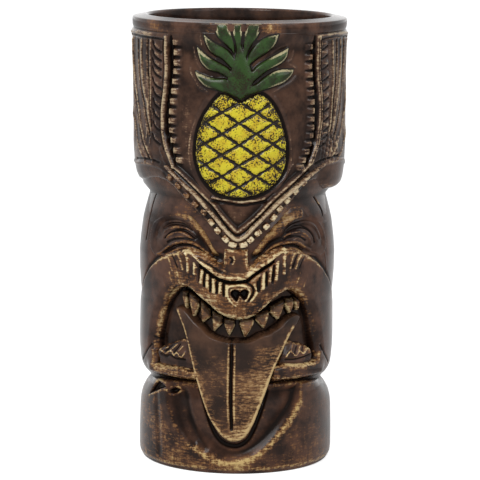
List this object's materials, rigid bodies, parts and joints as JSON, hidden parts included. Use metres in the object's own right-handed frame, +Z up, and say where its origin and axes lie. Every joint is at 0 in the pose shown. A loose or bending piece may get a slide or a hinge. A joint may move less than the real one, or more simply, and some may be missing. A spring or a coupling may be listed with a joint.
{
  "type": "tiki mug",
  "caption": "Tall ceramic drinking mug moulded as a standing tiki: open cup with a carved face, bared teeth, long grooved tongue, folded arms and a headdress bearing a pineapple.",
  "frame": {"origin": "centre of the foot, on the surface that the mug stands on", "axes": "+Z up along the mug's axis; the figure's face looks towards -Y, and its left-hand side as seen from the front is -X"},
  "size_m": [0.08, 0.08, 0.167],
  "materials": {
    "brown_glaze": "dark brown gloss glaze, wiped thin to tan on the raised edges",
    "yellow_glaze": "yellow gloss glaze with dark speckle and dark cross grooves",
    "green_glaze": "green gloss glaze, thin and pale at the leaf edges"
  },
  "bodies": {
    "root": {"cup_wall": "brown_glaze", "base_block": "brown_glaze", "back_of_figure": "brown_glaze", "left_arm": "brown_glaze", "right_arm": "brown_glaze", "left_hand": "brown_glaze", "right_hand": "brown_glaze", "tongue": "brown_glaze", "upper_teeth": "brown_glaze", "muzzle": "brown_glaze", "nose_bridge": "brown_glaze", "left_eye": "brown_glaze", "right_eye": "brown_glaze", "left_cheek": "brown_glaze", "right_cheek": "brown_glaze", "headdress": "brown_glaze", "brow_band": "brown_glaze", "brow_beads": "brown_glaze", "pineapple": "yellow_glaze", "pineapple_crown": "green_glaze"}
  },
  "joints": []
}
